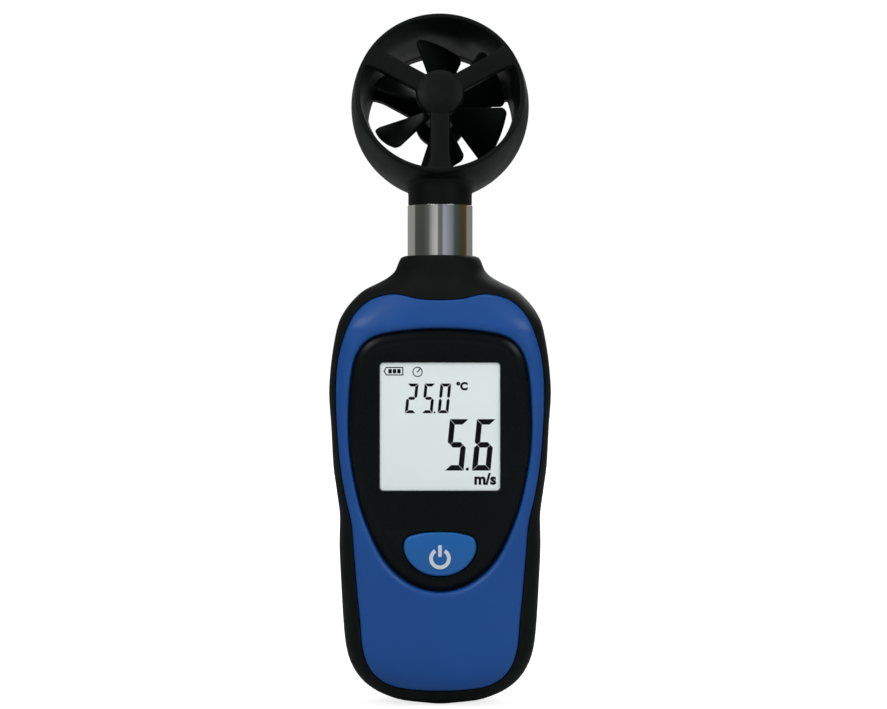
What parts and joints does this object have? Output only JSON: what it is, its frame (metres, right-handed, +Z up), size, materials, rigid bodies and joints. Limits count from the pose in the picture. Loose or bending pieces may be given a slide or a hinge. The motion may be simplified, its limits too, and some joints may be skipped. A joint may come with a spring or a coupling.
{
  "type": "vane anemometer",
  "caption": "Handheld vane anemometer: a leaning open ring with a guarded impeller on a polished neck, over a tapered case with a display, one power key and a battery cover.",
  "frame": {"origin": "bottom centre of the object's bounding box, level with the foot of the case", "axes": "+Z up along the handle, display and impeller intake towards -Y, +X to the right seen from the front"},
  "size_m": [0.051, 0.0344, 0.16],
  "materials": {
    "blue_shell": "satin moulded",
    "blue_key": "satin moulded",
    "black_shell": "satin moulded",
    "black_rubber": "matt",
    "gloss_black": "glossy",
    "clear_window": "clear",
    "display_glass": "satin",
    "white_plastic": "matt",
    "circuit_board": "solder mask",
    "polished_metal": "polished",
    "steel": "plated",
    "brass": "turned",
    "cell_jacket": "printed film"
  },
  "bodies": {
    "case": {"front_case": "blue_shell", "rear_case": "black_shell", "grip_frame": "black_rubber", "display_frame": "gloss_black", "display_lens": "clear_window", "lcd_panel": "display_glass", "lcd_backlight": "white_plastic", "main_board": "circuit_board", "microcontroller": "gloss_black", "sensor_connector": "white_plastic", "switch_base": "gloss_black", "case_screw_upper_1": "steel", "case_screw_upper_2": "steel", "case_screw_lower_1": "steel", "case_screw_lower_2": "steel", "board_screw_1": "steel", "board_screw_2": "steel", "board_screw_3": "steel", "board_screw_4": "steel", "neck_sleeve": "polished_metal", "sensor_lead": "black_rubber", "head_shell": "black_shell", "rear_guard": "black_shell", "front_bearing": "brass", "rear_bearing": "brass", "speed_sensor": "gloss_black", "temperature_bead": "gloss_black", "battery_1": "cell_jacket", "contact_spring_1": "steel", "contact_plate_top_1": "steel", "contact_plate_bottom_1": "steel", "battery_2": "cell_jacket", "contact_spring_2": "steel", "contact_plate_top_2": "steel", "contact_plate_bottom_2": "steel", "battery_3": "cell_jacket", "contact_spring_3": "steel", "contact_plate_top_3": "steel", "contact_plate_bottom_3": "steel"},
    "impeller_rotor": {"impeller": "black_shell", "impeller_shaft": "steel", "rotor_magnet": "steel"},
    "power_key": {"power_button": "blue_key", "switch_stem": "white_plastic"},
    "battery_door": {"battery_cover": "black_shell"}
  },
  "joints": [
    {"name": "impeller_spin", "type": "hinge", "parent": "case", "child": "impeller_rotor", "pos_m": [0, 0.00172, 0.1383], "axis": [0, -0.9659, 0.2588], "continuous": true},
    {"name": "power_key_press", "type": "slide", "parent": "case", "child": "power_key", "axis": [0, 1, 0], "range_m": [0, 0.0006], "stiffness_N_per_m": 900, "springref_m": -0.0011},
    {"name": "battery_door_swing", "type": "hinge", "parent": "case", "child": "battery_door", "pos_m": [0, 0.00822, 0.0072], "axis": [-1, 0, 0], "range_deg": [0, 60]}
  ]
}
